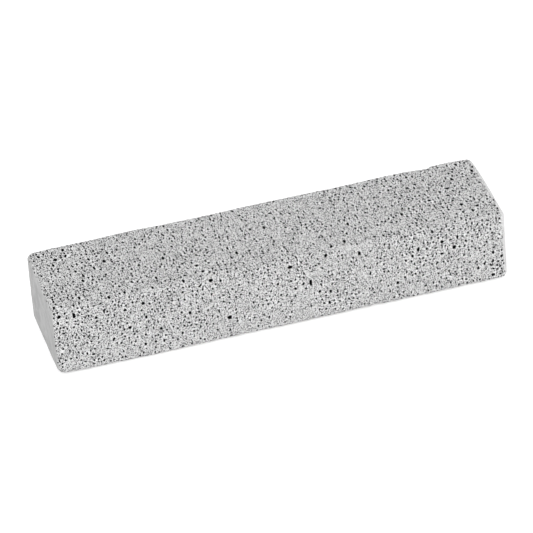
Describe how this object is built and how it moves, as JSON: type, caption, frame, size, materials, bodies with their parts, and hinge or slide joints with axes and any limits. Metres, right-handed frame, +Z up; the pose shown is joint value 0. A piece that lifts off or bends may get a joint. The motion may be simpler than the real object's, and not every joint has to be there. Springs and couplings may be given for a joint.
{
  "type": "pumice stone stick",
  "caption": "Straight rectangular stick of grey fine-celled pumice with rubbed-round edges, for scouring by hand.",
  "frame": {"origin": "middle of the flat base", "axes": "+X along the stick, +Y across its width, +Z up through its thickness"},
  "size_m": [0.15, 0.036, 0.0254],
  "materials": {
    "pumice": "matt grey pumice, cut through small open cells, with a pale dusty skin"
  },
  "bodies": {
    "root": {"pumice_stone": "pumice"}
  },
  "joints": []
}
